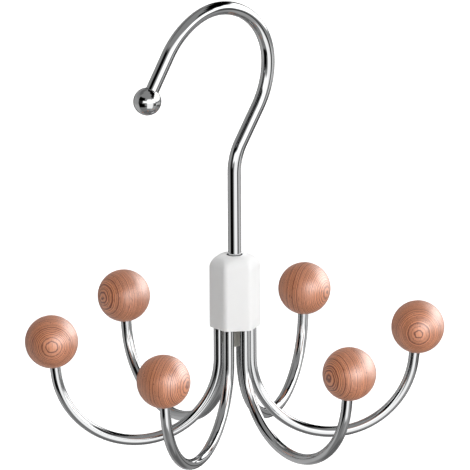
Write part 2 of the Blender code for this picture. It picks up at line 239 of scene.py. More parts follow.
def wire_grid(places, headings, radii, azimuth):
    """A round section carried along a flat centreline.

    point = place + radius * (cos turn * left + sin turn * across), where left lies in the
    centreline's plane at right angles to it, and across is the plane's own normal.
    """
    turn = np.linspace(0, math.tau, WIRE_SIDES, endpoint=False)[None, :, None]
    flat_left = np.stack([-np.sin(headings), np.cos(headings)], axis=1)
    left = (in_plane(flat_left, azimuth) - AXIS_FOOT)[:, None, :]
    across = np.array([-math.sin(azimuth), math.cos(azimuth), 0.0])
    centre = in_plane(places, azimuth)
    section = np.cos(turn) * left + np.sin(turn) * across
    grid = centre[:, None, :] + np.asarray(radii)[:, None, None] * section
    return grid, (centre[0], centre[-1])


def turned_grid(profile, centre, axis):
    """A profile (radius, height) turned about an axis through centre.

    point = centre + height * axis + radius * (cos turn * first + sin turn * second), where
    first and second stand at right angles to the axis and to each other.
    """
    axis = axis / np.linalg.norm(axis)
    along_y = abs(axis[1]) > NEARLY_ALONG
    first = np.cross([1.0, 0.0, 0.0] if along_y else [0.0, 1.0, 0.0], axis)
    first /= np.linalg.norm(first)
    second = np.cross(axis, first)
    turn = np.linspace(0, math.tau, TURNED_SIDES, endpoint=False)[None, :, None]
    radius, height = profile[:, 0, None, None], profile[:, 1, None, None]
    return centre + height * axis + radius * (np.cos(turn) * first + np.sin(turn) * second)


def corner_grid(rows, first_corner):
    """Rounded six-sided outlines, one for each row (reach, fillet, height).

    Each corner is an arc of 60 degrees: centre * (reach - fillet) + fillet * (cos turn,
    sin turn). Each flat is a straight blend of the ends of the two arcs that it joins.
    """
    reach, fillet, height = rows.T[:, :, None, None]
    middle = first_corner + math.tau * np.arange(ARM_COUNT)[None, :, None] / ARM_COUNT
    turn = middle + np.linspace(-1, 1, CORNER_POINTS)[None, None, :] * math.pi / ARM_COUNT
    x = np.cos(middle) * (reach - fillet) + fillet * np.cos(turn)
    y = np.sin(middle) * (reach - fillet) + fillet * np.sin(turn)
    arcs = np.stack([x, y, height + 0.0 * x], axis=3)
    share = (np.arange(1, FLAT_POINTS + 1) / (FLAT_POINTS + 1))[None, None, :, None]
    end, start = arcs[:, :, -1:, :], np.roll(arcs, -1, axis=1)[:, :, :1, :]
    flats = end + (start - end) * share
    outlines = np.concatenate([arcs, flats], axis=2)
    return AXIS_FOOT + outlines.reshape(len(rows), -1, 3)


def skin(grid, poles=None):
    """Points and faces of a grid whose columns close on themselves.

    With poles, the first and last rows close on one point each. Without, the last row joins
    the first. Faces are turned round where the volume that they enclose comes out negative.
    """
    rows, columns = grid.shape[:2]
    index = np.arange(rows * columns).reshape(rows, columns)
    beside = np.roll(index, -1, axis=1)
    if poles is None:
        ahead, beside_ahead = np.roll(index, -1, axis=0), np.roll(beside, -1, axis=0)
        here = index
    else:
        ahead, beside_ahead, here, beside = index[1:], beside[1:], index[:-1], beside[:-1]
    quads = np.stack([here, beside, beside_ahead, ahead], axis=2).reshape(-1, 4)
    points, triangles = grid.reshape(-1, 3), np.zeros((0, 3), int)
    if poles is not None:
        low, high = len(points), len(points) + 1
        points = np.concatenate([points, np.array(poles)])
        first, last = index[0], index[-1]
        base = np.stack([np.roll(first, -1), first, np.full(columns, low)], axis=1)
        top = np.stack([last, np.roll(last, -1), np.full(columns, high)], axis=1)
        triangles = np.concatenate([base, top])
    corners = points - points.mean(axis=0)
    fans = np.concatenate([quads[:, :3], quads[:, [0, 2, 3]], triangles])
    a, b, c = (corners[fans[:, i]] for i in range(3))
    if np.einsum("ij,ij->i", a, np.cross(b, c)).sum() < 0:
        quads, triangles = quads[:, ::-1], triangles[:, ::-1]
    return points, quads, triangles


def to_object(name, *skins):
    """One smooth mesh object from one skin or more, with its steep edges kept sharp."""
    points, faces, start = [], [], 0
    for own_points, quads, triangles in skins:
        points.append(own_points)
        faces += (quads + start).tolist() + (triangles + start).tolist()
        start += len(own_points)
    mesh = bpy.data.meshes.new(name)
    mesh.from_pydata(np.concatenate(points), [], faces)
    mesh.validate()
    mesh.shade_smooth()
    mesh.set_sharp_from_angle(angle=SHARP_ANGLE)
    obj = bpy.data.objects.new(name, mesh)
    bpy.context.scene.collection.objects.link(obj)
    return obj


def dress(obj, node, material):
    """Put a piece in the place of a CAD node: same body, inside the same box, with the given
    material.
    """
    low, high = np.array(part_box(node))
    places = np.array([vertex.co for vertex in obj.data.vertices])
    off = np.abs([places.min(axis=0) - low, places.max(axis=0) - high]).max()
    if off > PLACE_TOLERANCE:
        raise ValueError(f"{obj.name} leaves the place of {node} by {off * 1000:.2f} mm")
    body = next(b for b, own in frame["record"]["behaviour"]["bodies"].items() if node in own)
    obj.data.materials.append(material)
    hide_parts(node)
    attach(obj, body)


# The finishes, all on object coordinates.


class Nodes:
    """Short calls for building one node tree."""

    def __init__(self, tree):
        self.tree = tree
        tree.nodes.clear()

    def add(self, kind, inputs=None, **settings):
        """A node with its settings. A socket among the inputs is linked, a value is set."""
        made = self.tree.nodes.new("ShaderNode" + kind)
        for key, value in settings.items():
            setattr(made, key, value)
        for key, value in (inputs or {}).items():
            if isinstance(value, bpy.types.NodeSocket):
                self.tree.links.new(value, made.inputs[key])
            else:
                made.inputs[key].default_value = value
        return made

    def math(self, operation, *values):
        return self.add("Math", dict(enumerate(values)), operation=operation).outputs[0]

    def vector(self, operation, *values):
        made = self.add("VectorMath", dict(enumerate(values)), operation=operation)
        return made.outputs["Value" if operation == "LENGTH" else "Vector"]

    def noise(self, vector, scale, detail, roughness=0.5):
        values = {"Vector": vector, "Scale": scale, "Detail": detail, "Roughness": roughness}
        return self.add("TexNoise", values).outputs["Fac"]

    def noise_along(self, distance, scale):
        values = {"W": distance, "Scale": scale, "Detail": 1.0}
        return self.add("TexNoise", values, noise_dimensions="1D").outputs[0]

    def spread(self, value, low, high):
        """The value moved from 0..1 to low..high."""
        return self.add("MapRange", {0: value, 3: low, 4: high}).outputs[0]

    def step(self, value, start, end):
        """0 under the start, 1 over the end and a smooth rise between them."""
        values = {0: value, 1: start, 2: end}
        return self.add("MapRange", values, interpolation_type="SMOOTHSTEP").outputs[0]

    def ramp(self, value, *stops):
        """A grey ramp through stops (position, level), of which the first two are its ends."""
        made = self.add("ValToRGB", {0: value})
        made.color_ramp.interpolation = "EASE"
        for position, _ in stops[2:]:
            made.color_ramp.elements.new(position)
        for element, (position, level) in zip(made.color_ramp.elements, sorted(stops)):
            element.position = position
            element.color = (level, level, level, 1.0)
        return made.outputs[0]

    def blend(self, share, first, second):
        made = self.add("Mix", {0: share, 6: first, 7: second}, data_type="RGBA")
        return made.outputs[2]

    def shades(self, share, colour, low, high):
        """The colour from its shade low to its shade high."""
        return self.blend(share, rgba(colour, low), rgba(colour, high))

    def bump(self, height, distance, normal=None):
        values = {"Height": height, "Distance": distance}
        if normal is not None:
            values["Normal"] = normal
        return self.add("Bump", values).outputs[0]

    def finish(self, **values):
        """The surface shader, with its values by socket name, joined to the output."""
        sockets = {key.replace("_", " "): value for key, value in values.items()}
        shader = self.add("BsdfPrincipled", sockets)
        self.add("OutputMaterial", {0: shader.outputs[0]})


# The finishes' noises, as scale per metre and detail.
CHROME_HAZE = (90, 3)
CHROME_GRAIN = (1400, 2)
CHROME_WAVE = (160, 1)
BARE_END_WEAR = (900, 3)
PLASTIC_FLOW = (140, 3)
PLASTIC_GRAIN = (3800, 2)
NYLON_CLOUD = (260, 4)
NYLON_GRAIN = (5200, 2)
STEEL_ROLLING = (300, 3)
STEEL_WEAR = (420, 4)
PAPER_FIBRE = (60, 3)
# The shades that a finish's colour runs through, as factors.
CHROME_SHADES = (0.985, 1.015)
BARE_END_SHADES = (0.9, 1.1)
PLASTIC_SHADES = (0.985, 1.01)
NYLON_SHADES = (0.93, 1.06)
STEEL_SHADES = (0.8, 1.5)
PAPER_SHADES = (0.995, 1.0)
# The range of each finish's roughness.
CHROME_ROUGHNESS = (0.01, 0.03)
PLASTIC_ROUGHNESS = (0.56, 0.66)
NYLON_ROUGHNESS = (0.42, 0.56)
STEEL_ROUGHNESS = (0.28, 0.46)
WOOD_ROUGHNESS = (0.52, 0.68)
# Heights of the finishes' relief, in metres.
CHROME_WAVE_HEIGHT = 0.000004
CHROME_GRAIN_HEIGHT = 0.0000002
FINE_GRAIN_HEIGHT = 0.00001
WOOD_RELIEF_HEIGHT = 0.00002
# The wire's bare end: its colour and roughness, and how soft the plating's edge is.
BARE_END_COLOUR = (0.55, 0.53, 0.48)
BARE_END_ROUGHNESS = 0.6
PLATING_EDGE = 0.0002
# The steel's rolling lines run along X, with their noise squeezed across it.
ROLLING_SQUEEZE = (1.0, 12.0, 12.0)
# The painted shade inside the housing's mouth, as a shade of the plastic's colour, and where it
# fades beyond the mouth's radius.
MOUTH_PAINTED_SHADE = 0.06
MOUTH_PAINTED_SHADE_FADE = (0.00002, 0.00014)


def rgba(colour, shade=1.0):
    """A shade of a colour, opaque."""
    return tuple(min(1.0, part * shade) for part in colour) + (1.0,)


def new_material(name):
    """A material, the calls that build its nodes, and its object coordinates."""
    material = bpy.data.materials.new(name)
    material.use_nodes = True
    nodes = Nodes(material.node_tree)
    return material, nodes, nodes.add("TexCoord").outputs["Object"]


def chrome_finish(name, colour, dull_below=None):
    """Bright plating: nearly even, with a slow waviness and a faint polishing haze.

    Under the height dull_below, where one is given, the wire is bare and matt.
    """
    material, nodes, place = new_material(name)
    haze = nodes.noise(place, *CHROME_HAZE)
    grain = nodes.noise(place, *CHROME_GRAIN)
    wave = nodes.noise(place, *CHROME_WAVE)
    tone = nodes.shades(haze, colour, *CHROME_SHADES)
    roughness = nodes.spread(haze, *CHROME_ROUGHNESS)
    plated = 1.0
    if dull_below is not None:
        height = nodes.add("SeparateXYZ", {0: place}).outputs["Z"]
        plated = nodes.step(height, dull_below - PLATING_EDGE, dull_below + PLATING_EDGE)
        worn = nodes.noise(place, *BARE_END_WEAR)
        bare = nodes.shades(worn, BARE_END_COLOUR, *BARE_END_SHADES)
        tone = nodes.blend(plated, bare, tone)
        roughness = nodes.blend(plated, rgba([BARE_END_ROUGHNESS] * 3), roughness)
    fine = nodes.bump(grain, CHROME_GRAIN_HEIGHT)
    nodes.finish(
        Base_Color=tone,
        Metallic=plated,
        Roughness=roughness,
        Normal=nodes.bump(wave, CHROME_WAVE_HEIGHT, fine),
    )
    return material


def plastic_finish(colour, mouth):
    """Nearly matt white moulding: fine grain, faint flow marks and a slight glow inside.

    Within the radius of its mouth the moulding's colour is darkened to a painted shade, which
    stands in for the shade in the gap round the shank.
    """
    material, nodes, place = new_material("white moulded plastic")
    from_axis = nodes.vector("SUBTRACT", place, AXIS_FOOT)
    across = nodes.vector("MULTIPLY", from_axis, (1.0, 1.0, 0.0))
    radius = nodes.vector("LENGTH", across)
    # 0 inside the mouth's radius, where the colour holds a painted shade, and 1 beyond it.
    clear_of_painted_shade = nodes.step(radius, *(mouth + part for part in MOUTH_PAINTED_SHADE_FADE))
    flow = nodes.noise(place, *PLASTIC_FLOW)
    grain = nodes.noise(place, *PLASTIC_GRAIN)
    tone = nodes.shades(flow, colour, *PLASTIC_SHADES)
    nodes.finish(
        # Painted shade: the colour is darkened inside the mouth's radius.
        Base_Color=nodes.blend(clear_of_painted_shade, rgba(colour, MOUTH_PAINTED_SHADE), tone),
        Roughness=nodes.spread(grain, *PLASTIC_ROUGHNESS),
        Specular_IOR_Level=0.01,
        Subsurface_Weight=0.20,
        Subsurface_Radius=(1.0, 0.95, 0.9),
        Subsurface_Scale=0.003,
        Normal=nodes.bump(grain, FINE_GRAIN_HEIGHT),
    )
    return material


def nylon_finish(colour):
    """Matt, slightly cloudy nylon with a fine grain."""
    material, nodes, place = new_material("natural nylon")
    cloud = nodes.noise(place, *NYLON_CLOUD)
    grain = nodes.noise(place, *NYLON_GRAIN)
    nodes.finish(
        Base_Color=nodes.shades(cloud, colour, *NYLON_SHADES),
        Roughness=nodes.spread(grain, *NYLON_ROUGHNESS),
        Subsurface_Weight=0.15,
        Subsurface_Radius=(1.0, 0.9, 0.7),
        Subsurface_Scale=0.001,
        Normal=nodes.bump(grain, FINE_GRAIN_HEIGHT),
    )
    return material


def steel_finish(colour):
    """Blued spring steel with rolling lines and lighter worn patches."""
    material, nodes, place = new_material("blued spring steel")
    rolled = nodes.noise(nodes.vector("MULTIPLY", place, ROLLING_SQUEEZE), *STEEL_ROLLING)
    worn = nodes.noise(place, *STEEL_WEAR)
    nodes.finish(
        Base_Color=nodes.shades(worn, colour, *STEEL_SHADES),
        Metallic=1.0,
        Roughness=nodes.spread(rolled, *STEEL_ROUGHNESS),
        Normal=nodes.bump(rolled, FINE_GRAIN_HEIGHT),
    )
    return material


# Each ball's grain: how far the normal of its growth layers is turned and tilted from the
# line across its arm's plane, in degrees, the layers' spacing in metres, and a number that
# sets its own irregularities.
BALL_GRAINS = (
    (-7.0, 1.7, 0.00046, 86.8),
    (-2.5, 5.5, 0.00044, 16.1),
    (-7.1, 2.5, 0.00042, 37.0),
    (-3.5, -0.9, 0.00044, 38.8),
    (1.0, 0.5, 0.00048, 55.6),
    (-6.5, 1.4, 0.00044, 72.9),
)
# How strongly the layers are bowed, and the noises that sway them, as scale and reach.
LAYER_BOW = 3.0
LAYER_SWAY = ((70.0, 0.00035), (330.0, 0.00013), (1100.0, 0.00006))
# How uneven the layers' spacing is: the noise's scale along their count, and its reach.
UNEVEN_SCALE = 0.30
UNEVEN_REACH = 1.3
# The noise that gathers the layers in groups: its scale, and where it turns dark.
GROUP_SCALE = 0.42
GROUP_EDGE = (0.35, 0.65)
# One layer as place and darkness: its start, its end, and the places between them. Then how
# strong its late wood may be.
LATE_WOOD_LINE = ((0.0, 0.45), (1.0, 0.45), (0.16, 0.0), (0.58, 0.03), (0.84, 1.0))
LATE_WOOD_STRENGTH = (0.5, 1.35)
# Fibres, flecks and clouds: how far a noise is stretched upwards, its scale, detail and
# roughness, and where it turns from wood to fleck.
FIBRE_STRETCH = (1.0, 1.0, 0.06)
FIBRE_NOISE = (3400.0, 3.0, 0.6)
FLECK_STRETCH = (1.0, 1.0, 0.16)
FLECK_NOISE = (1900.0, 1.0)
FLECK_EDGE = (0.67, 0.74)
WOOD_CLOUD = (90.0, 2.0)
# How dark the wood starts, and how much late wood, groups, fibres, flecks and clouds add.
# Under 0 it is all pale wood and over 1 all dark.
DARKNESS_START = -1.0
DARKNESS_SHARES = (1.75, 0.18, 1.5, 0.9, 0.35)
# How high the fibres stand beside the depth of the late wood.
FIBRE_RELIEF = 0.6
# A ball's own number moves its noises by these shares of it.
OWN_SHARES = (1.0, 0.7, 1.3)


def beech_finish(name, centre, azimuth, grain, pale, dark):
    """Lacquered beech, its growth layers nearly flat and half a millimetre or so apart.

    The height above the ball's middle along the layers' normal, bowed a little and swayed by
    noise, over the spacing, is the count of layers. Its fraction drives one layer: pale early
    wood, then a thin dark line of late wood, stronger in some layers than in others. A slower
    noise of the count gathers the layers in paler and darker groups. Fibres and short flecks
    are noise stretched upwards.
    """
    turn, tilt, spacing, own = grain
    material, nodes, place = new_material(name)
    facing = Euler((math.radians(tilt), 0.0, azimuth + math.radians(turn)))
    mapped = {"Vector": place, "Location": centre, "Rotation": facing}
    pattern = nodes.add("Mapping", mapped, vector_type="TEXTURE").outputs[0]
    seeded = nodes.vector("ADD", pattern, tuple(own * part for part in OWN_SHARES))
    parts = nodes.add("SeparateXYZ", {0: pattern}).outputs
    bow = nodes.math("MULTIPLY", nodes.math("POWER", parts["X"], 2.0), LAYER_BOW)
    height = nodes.math("ADD", parts["Y"], bow)
    for scale, reach in LAYER_SWAY:
        sway = nodes.spread(nodes.noise(seeded, scale, 1.0), -reach, reach)
        height = nodes.math("ADD", height, sway)
    counted = nodes.math("ADD", nodes.math("DIVIDE", height, spacing), own)
    uneven = nodes.noise_along(counted, UNEVEN_SCALE)
    layers = nodes.math("ADD", counted, nodes.spread(uneven, -UNEVEN_REACH, UNEVEN_REACH))
    number = {"W": nodes.math("FLOOR", layers)}
    strength = nodes.add("TexWhiteNoise", number, noise_dimensions="1D").outputs["Value"]
    line = nodes.ramp(nodes.math("FRACT", layers), *LATE_WOOD_LINE)
    late = nodes.math("MULTIPLY", line, nodes.spread(strength, *LATE_WOOD_STRENGTH))
    grouped = nodes.step(nodes.noise_along(counted, GROUP_SCALE), *GROUP_EDGE)
    fibre = nodes.noise(nodes.vector("MULTIPLY", seeded, FIBRE_STRETCH), *FIBRE_NOISE)
    long_specks = nodes.noise(nodes.vector("MULTIPLY", seeded, FLECK_STRETCH), *FLECK_NOISE)
    fleck = nodes.step(long_specks, *FLECK_EDGE)
    cloud = nodes.noise(seeded, *WOOD_CLOUD)
    darkness = DARKNESS_START
    for layer, share in zip((late, grouped, fibre, fleck, cloud), DARKNESS_SHARES):
        darkness = nodes.math("ADD", darkness, nodes.math("MULTIPLY", layer, share))
    relief = nodes.math("SUBTRACT", nodes.math("MULTIPLY", fibre, FIBRE_RELIEF), late)
    nodes.finish(
        Base_Color=nodes.blend(darkness, rgba(pale), rgba(dark)),
        Roughness=nodes.spread(fibre, *WOOD_ROUGHNESS),
        Specular_IOR_Level=0.1,
        Coat_Weight=1.0,
        Coat_Roughness=0.38,
        Coat_IOR=1.75,
        Normal=nodes.bump(relief, WOOD_RELIEF_HEIGHT),
    )
    return material


# Directions round the object are given as azimuths, from the camera's own direction towards
# the picture's right, and elevations, both in degrees. The camera's own azimuth is from -Y.
CAMERA_AZIMUTH = -37.51
CAMERA_ELEVATION = 15.221
CAMERA_ROLL = -0.302
CAMERA_LENS = 798.2
CAMERA_SENSOR = 36.0
CAMERA_REACH = 100.0
CAMERA_DISTANCE = 4.870
# The middle of the ring of balls, and how far right and up of the lens's axis it lies.
CAMERA_AIM = Vector((AXIS_FOOT[0], 0.0, AXIS_FOOT[2] - 0.0042))
CAMERA_OFFSET = (0.00003, -0.04636)

# The floor and the tent in metres, and the angle between the tent's points.
FLOOR_HEIGHT = -1.0
FLOOR_HALF = 12.0
TENT_RADIUS = 3.0
TENT_LIFT = 0.03
TENT_STEP = 1.5

# The world's even light, and how much the floor glows to the camera.
WORLD_LEVEL = 0.175
CAMERA_FLOOR_GLOW = 0.43
# Lamps: azimuth, elevation, level on a white card that faces the lamp, apparent diameter.
LAMPS = {
    "left_lamp": (-75, 5, 0.06, 60),
    "key_lamp": (45, 22, 0.72, 50),
    "high_lamp": (-15, 72, 0.20, 60),
    "back_lamp": (180, 38, 0.40, 60),
}
# Lamps that only give highlights, at the middles of the tent's bright panels.
HIGHLIGHT_LAMPS = {
    "side_highlight": (105, 18, 2.05, 46),
    "rear_highlight": (132, 20, 2.1, 46),
    "rim_highlight": (158, 8, 0.5, 40),
    "front_highlight": (36, 10, 1.45, 50),
}

# The tent's cloths and panels, in the order in which they hang over each other: azimuth,
# elevation, half width, half height, softness of the edge and level.
TENT_GROUND = 0.37
TENT_PANELS = (
    # Pale and dim cloths: left side, low left, foot, low and far right, high left.
    (-122, -4, 46, 24, 20, 0.48),
    (-130, -34, 56, 18, 14, 0.60),
    (-45, -50, 36, 14, 16, 0.28),
    (60, -38, 24, 24, 16, 0.52),
    (0, -78, 180, 10, 14, 0.19),
    (135, -62, 44, 14, 16, 0.18),
    (170, 22, 16, 24, 5, 0.03),
    (-130, 54, 44, 12, 14, 0.20),
    # The dark low back, and the three flags over the side panel.
    (-176, -15, 33, 20, 8, 0.01),
    (70, 46, 23, 10, 8, 0.02),
    (120, 58, 50, 15, 8, 0),
    (158, 48, 16, 20, 8, 0),
    # The low right band and its near end, and the shades under them.
    (110, -13, 22, 5, 4, 0.72),
    (84.5, -14, 6, 4, 3, 1.20),
    (118, -24, 26, 4, 5, 0.10),
    (66, -17, 12, 6.5, 4, 0.08),
    # The upper left flag over its post, and the lower left flag with its arm.
    (-58, 9, 17, 17, 8, 0.03),
    (-49, 29.5, 29, 13, 8, 0),
    (-46, -19, 26.5, 15, 6, 0.001),
    (-14, -25, 14, 4, 5, 0.02),
    # The low front wall, and the front panel: left end, middle, top and right end.
    (23.5, -20, 25.5, 24, 9, 1.55),
    (-15, 10.5, 19.5, 7.5, 6, 1.9),
    (34, 13, 38, 14, 6, 2.0),
    (18, 28, 16, 5, 6, 1.6),
    (62, 13, 16, 14, 8, 2.2),
    # The side panel, its top, and the gap between it and the front panel.
    (112, 19, 41, 17.5, 4, 2.4),
    (112, 33, 25, 8, 4, 2.4),
    (75, -1, 3.5, 8, 3, 0.12),
)


def direction(azimuth, elevation):
    """The unit vector to an azimuth seen from the camera and an elevation, in degrees.

    Its parts are cos around * cos up, sin around * cos up and sin up.
    """
    around, up = np.radians(azimuth + CAMERA_AZIMUTH - 90.0), np.radians(elevation)
    parts = np.cos(around) * np.cos(up), np.sin(around) * np.cos(up), np.sin(up)
    return np.stack(np.broadcast_arrays(*parts), axis=-1)


def tent_levels(azimuth, elevation):
    """The tent's level in each direction, laid on panel by panel.

    A panel covers by smoothstep(width) * smoothstep(height), where each runs from 0 at half a
    softness outside the panel's edge to 1 at half a softness inside it.
    """
    level = np.full(azimuth.shape, TENT_GROUND)
    for middle, height, half_width, half_height, soft, panel_level in TENT_PANELS:
        aside = np.abs((azimuth - middle + 180.0) % 360.0 - 180.0)
        cover = np.ones(azimuth.shape)
        for beyond in (aside - half_width, np.abs(elevation - height) - half_height):
            edge = np.clip(0.5 - beyond / soft, 0.0, 1.0)
            cover = cover * edge * edge * (3.0 - 2.0 * edge)
        level = level + (panel_level - level) * cover
    return level


def build_tent():
    """A sphere about the object: centre + radius * direction(azimuth, elevation).

    Only reflections see it. Its light comes from the attribute that holds the panels' levels.
    """
    elevation = np.arange(-90.0 + TENT_STEP, 90.0, TENT_STEP)[:, None]
    azimuth = np.arange(-180.0, 180.0, TENT_STEP)[None, :]
    ends = np.array([-90.0, 90.0])
    centre = AXIS_FOOT + TENT_LIFT * UP
    grid = centre + TENT_RADIUS * direction(azimuth, elevation)
    tent = to_object("light_tent", skin(grid, centre + TENT_RADIUS * direction(0.0, ends)))
    levels = tent_levels(*np.broadcast_arrays(azimuth, elevation))
    levels = np.append(levels, tent_levels(0.0 * ends, ends))
    held = tent.data.attributes.new("panel_level", "FLOAT", "POINT")
    held.data.foreach_set("value", levels.astype(np.float32))
    material = bpy.data.materials.new("tent cloth and panels")
    material.use_nodes = True
    material.cycles.emission_sampling = "NONE"
    nodes = Nodes(material.node_tree)
    held_level = nodes.add("Attribute", attribute_name="panel_level").outputs["Fac"]
    glow = nodes.add("Emission", {"Strength": held_level}).outputs[0]
    nodes.add("OutputMaterial", {0: glow})
    tent.data.materials.append(material)
    tent.visible_camera = tent.visible_diffuse = False
    tent.visible_transmission = tent.visible_shadow = tent.visible_volume_scatter = False
    return tent


def build_floor(colour):
    """A wide pale sheet. From below it is clear, and to the camera it glows a little."""
    x, y = FLOOR_HALF * np.array([-1, 1, 1, -1]), FLOOR_HALF * np.array([-1, -1, 1, 1])
    corners = np.stack([x, y, np.full(4, FLOOR_HEIGHT)], axis=1)
    floor = to_object("floor", (corners, np.array([[0, 1, 2, 3]]), np.zeros((0, 3), int)))
    material, nodes, place = new_material("pale floor paper")
    paper = nodes.shades(nodes.noise(place, *PAPER_FIBRE), colour, *PAPER_SHADES)
    matt = nodes.add("BsdfDiffuse", {"Color": paper}).outputs[0]
    to_camera = nodes.add("LightPath").outputs["Is Camera Ray"]
    strength = nodes.math("MULTIPLY", to_camera, CAMERA_FLOOR_GLOW)
    glow = nodes.add("Emission", {"Strength": strength}).outputs[0]
    sheet = nodes.add("AddShader", {0: matt, 1: glow}).outputs[0]
    clear = nodes.add("BsdfTransparent").outputs[0]
    behind = nodes.add("NewGeometry").outputs["Backfacing"]
    shown = nodes.add("MixShader", {0: behind, 1: sheet, 2: clear}).outputs[0]
    nodes.add("OutputMaterial", {0: shown})
    floor.data.materials.append(material)
    floor.visible_glossy = False
    return floor


def build_world():
    """Even light. Seen by the camera, in metal or through glass, it is white."""
    world = bpy.data.worlds.new("even studio light")
    bpy.context.scene.world = world
    world.use_nodes = True
    nodes = Nodes(world.node_tree)
    path = nodes.add("LightPath").outputs
    shown = nodes.math("MAXIMUM", path["Is Camera Ray"], path["Is Glossy Ray"])
    shown = nodes.math("MAXIMUM", shown, path["Is Transmission Ray"])
    strength = nodes.spread(shown, WORLD_LEVEL, 1.0)
    nodes.add("OutputWorld", {0: nodes.add("Background", {1: strength}).outputs[0]})


def build_lamps():
    """Wide, soft, far lamps.

    Those in LAMPS light the matt colours, and reflections show the tent in their place. Those
    in HIGHLIGHT_LAMPS only give highlights.
    """
    for name, (azimuth, elevation, level, apparent) in {**LAMPS, **HIGHLIGHT_LAMPS}.items():
        light = bpy.data.lights.new(name, "SUN")
        light.energy = level * math.pi
        light.angle = math.radians(apparent)
        lamp = bpy.data.objects.new(name, light)
        bpy.context.scene.collection.objects.link(lamp)
        lamp.rotation_mode = "QUATERNION"
        towards = Vector(direction(azimuth, elevation))
        lamp.rotation_quaternion = towards.to_track_quat("Z", "Y")
        lamp.visible_glossy = name in HIGHLIGHT_LAMPS
        lamp.visible_diffuse = name in LAMPS


def build_camera():
    """A long lens at the photograph's angle, aimed above the middle of the ring of balls."""
    roll = math.radians(CAMERA_ROLL)
    ahead = -Vector(direction(0.0, CAMERA_ELEVATION))
    level_right = Vector(direction(90.0, 0.0))
    level_up = level_right.cross(ahead)
    right = level_right * math.cos(roll) + level_up * math.sin(roll)
    up = level_up * math.cos(roll) - level_right * math.sin(roll)
    aside, above = CAMERA_OFFSET
    place = CAMERA_AIM - ahead * CAMERA_DISTANCE - right * aside - up * above
    camera = bpy.data.objects.new("camera", bpy.data.cameras.new("camera"))
    camera.data.lens = CAMERA_LENS
    camera.data.sensor_width = CAMERA_SENSOR
    camera.data.clip_end = CAMERA_REACH
    turned = Matrix((right, up, -ahead)).transposed().to_4x4()
    camera.matrix_world = Matrix.Translation(place) @ turned
    bpy.context.scene.collection.objects.link(camera)
    bpy.context.scene.camera = camera


# The operators, one for each piece or group of like pieces and one for the stage.


class HANGER_OT_build_hook(Operator):
    """Make the hook's bent wire and the ball on its tip"""

    bl_idname = "hanger.build_hook"
    bl_label = "Hook"

    def execute(self, context):
        sizes, housing = context.scene.hanger_hook, context.scene.hanger_housing
        colour = context.scene.hanger_colours.chrome
        chrome = chrome_finish("polished chrome plating", colour)
        bare_below = AXIS_FOOT[2] - sizes.tail + sizes.bare_end
        part_plated = chrome_finish("part-plated hook wire", colour, bare_below)
        radius = sizes.wire / 2
        turn = np.linspace(0, math.pi / 2, 2 * EDGE_STEPS + 1)[1:]
        heights = [-sizes.tail + sizes.tail_dome * (1 - np.cos(turn))]
        radii = [radius * np.sin(turn)]
        low_grooves = np.array([0.0, sizes.groove_width])
        for groove in (low_grooves, housing.spring + housing.hub_base - low_grooves[::-1]):
            heights.append(np.repeat(groove, 2))
            radii.append(radius - sizes.groove_depth * np.array([0.0, 1.0, 1.0, 0.0]))
        heights, radii = np.concatenate(heights), np.concatenate(radii)
        straight = np.stack([0.0 * heights, heights], axis=1)
        start = (0.0, housing.top + sizes.shank)
        places, headings = walk(start, math.pi / 2, [
            (sizes.neck_radius * sizes.neck_angle, -sizes.neck_angle),
            (sizes.neck, 0.0),
            (sizes.flank_radius * sizes.flank_angle, sizes.flank_angle),
            (sizes.crown_radius * sizes.crown_angle, sizes.crown_angle),
            (sizes.flank_radius * sizes.flank_angle, sizes.flank_angle),
            (sizes.tip + sizes.ball_grip, 0.0),
        ])
        all_radii = np.concatenate([radii, np.full(len(places), radius)])
        all_places = np.concatenate([straight, places])
        all_headings = np.concatenate([np.full(len(heights), math.pi / 2), headings])
        grid, (_, high) = wire_grid(all_places, all_headings, all_radii, 0.0)
        low = AXIS_FOOT - sizes.tail * UP
        dress(to_object("hook_wire", skin(grid, (low, high))), "hook_rod", part_plated)

        along = np.array([math.cos(headings[-1]), 0.0, math.sin(headings[-1])])
        gap = sizes.ball_gap
        centre = high - along * sizes.ball_grip
        ball = bored_ball(centre, along, sizes.ball, radius + gap, sizes.ball_grip + gap)
        dress(to_object("tip_ball", ball), "hook_tip_ball", chrome)
        return {"FINISHED"}


def bored_ball(centre, axis, diameter, bore, bore_top):
    """A ball with a blind bore from below, turned about its axis as one profile.

    The profile is the bore's wall from its closed top, a small round at its mouth, and then
    radius * (sin turn, -cos turn) from the mouth to the far pole.
    """
    radius = diameter / 2
    mouth = math.asin((bore + MOUTH_EASE) / radius)
    turn = np.linspace(mouth, math.pi, BALL_BANDS + 1)[:-1]
    sphere = radius * np.stack([np.sin(turn), -np.cos(turn)], axis=1)
    lip, foot = MOUTH_EASE / 3, sphere[0, 1]
    wall = [(bore, bore_top), (bore, foot + MOUTH_EASE + lip), (bore + lip, foot + lip)]
    profile = np.concatenate([wall, sphere])
    poles = (centre + axis * bore_top, centre + axis * radius)
    return skin(turned_grid(profile, centre, axis), poles)


def arm_azimuth(sizes, index):
    """One arm's direction about the axis."""
    return sizes.first + math.tau * index / ARM_COUNT


def arm_path(sizes):
    """One arm's flat centreline with its radii, and its ball's flat centre and heading."""
    radius, chamfer = sizes.wire / 2, sizes.chamfer
    places, headings = walk((sizes.leg_circle, sizes.insert_top), -math.pi / 2, [
        (chamfer, 0.0),
        (sizes.insert_top - chamfer + sizes.leg, 0.0),
        (sizes.bend_radius * sizes.bend_angle, sizes.bend_angle),
        (sizes.riser + sizes.grip - chamfer, 0.0),
        (chamfer, 0.0),
    ])
    radii = np.full(len(places), radius)
    radii[[0, -1]] = radius - chamfer
    along = np.array([math.cos(headings[-1]), math.sin(headings[-1])])
    return places, headings, radii, places[-1] - along * sizes.grip, along


